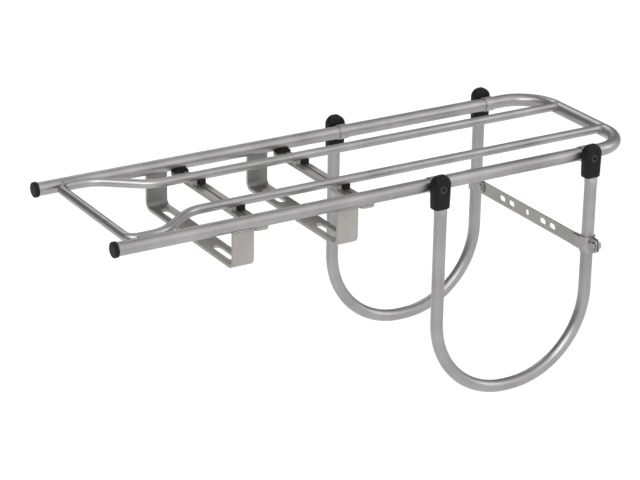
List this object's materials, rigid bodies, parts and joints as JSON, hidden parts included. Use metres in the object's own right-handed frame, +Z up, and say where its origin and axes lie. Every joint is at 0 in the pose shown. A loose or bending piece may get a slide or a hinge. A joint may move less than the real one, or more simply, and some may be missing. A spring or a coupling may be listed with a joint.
{
  "type": "rear luggage rack",
  "caption": "Tubular steel rear luggage rack with an inner rod loop, two slotted brackets, a perforated strap and two side hoops that fold out level with the deck.",
  "frame": {"origin": "middle of the front bracket's pair of slots, on the bracket's underside", "axes": "+X to the rear along the deck, +Y to the far side, +Z up out of the deck"},
  "size_m": [0.5278, 0.2098, 0.2221],
  "materials": {
    "tube_steel": "satin",
    "flat_steel": "satin",
    "hardware_steel": "satin",
    "black_steel": "satin",
    "black_plastic": "matte",
    "black_rubber": "matte"
  },
  "bodies": {
    "rack": {"outer_tube": "tube_steel", "rod_loop": "tube_steel", "plug_near": "black_plastic", "plug_far": "black_plastic", "crossbar_front": "flat_steel", "crossbar_rear": "flat_steel", "rail_pad_front_near": "black_rubber", "rail_pad_front_far": "black_rubber", "rail_pad_rear_near": "black_rubber", "rail_pad_rear_far": "black_rubber", "rod_pad_front_near": "black_rubber", "rod_pad_front_far": "black_rubber", "rod_pad_rear_near": "black_rubber", "rod_pad_rear_far": "black_rubber", "bracket_front": "flat_steel", "bracket_rear": "flat_steel"},
    "near_hoop": {"hoop_near": "tube_steel", "cap_near_front": "black_plastic", "cap_near_rear": "black_plastic", "ring_near_front": "hardware_steel", "ring_near_rear": "hardware_steel", "cap_screws_near": "black_steel", "clamp_front_near": "hardware_steel", "clamp_back_near": "hardware_steel", "clamp_bolt_near": "hardware_steel", "clamp_nut_near": "hardware_steel"},
    "far_hoop": {"hoop_far": "tube_steel", "cap_far_front": "black_plastic", "cap_far_rear": "black_plastic", "ring_far_front": "hardware_steel", "ring_far_rear": "hardware_steel", "cap_screws_far": "black_steel", "clamp_front_far": "hardware_steel", "clamp_back_far": "hardware_steel", "clamp_bolt_far": "hardware_steel", "clamp_nut_far": "hardware_steel", "strap_rivet": "hardware_steel"},
    "strap": {"strap": "flat_steel"}
  },
  "joints": [
    {"name": "near_hoop_fold", "type": "hinge", "parent": "rack", "child": "near_hoop", "pos_m": [0.27, -0.076, 0.039], "axis": [-1, 0, 0], "range_deg": [0, 90]},
    {"name": "far_hoop_fold", "type": "hinge", "parent": "rack", "child": "far_hoop", "pos_m": [0.27, 0.076, 0.039], "axis": [1, 0, 0], "range_deg": [0, 90]},
    {"name": "strap_swing", "type": "hinge", "parent": "far_hoop", "child": "strap", "pos_m": [0.3472, 0.075, -0.044], "axis": [1, 0, 0], "range_deg": [0, 90]}
  ]
}
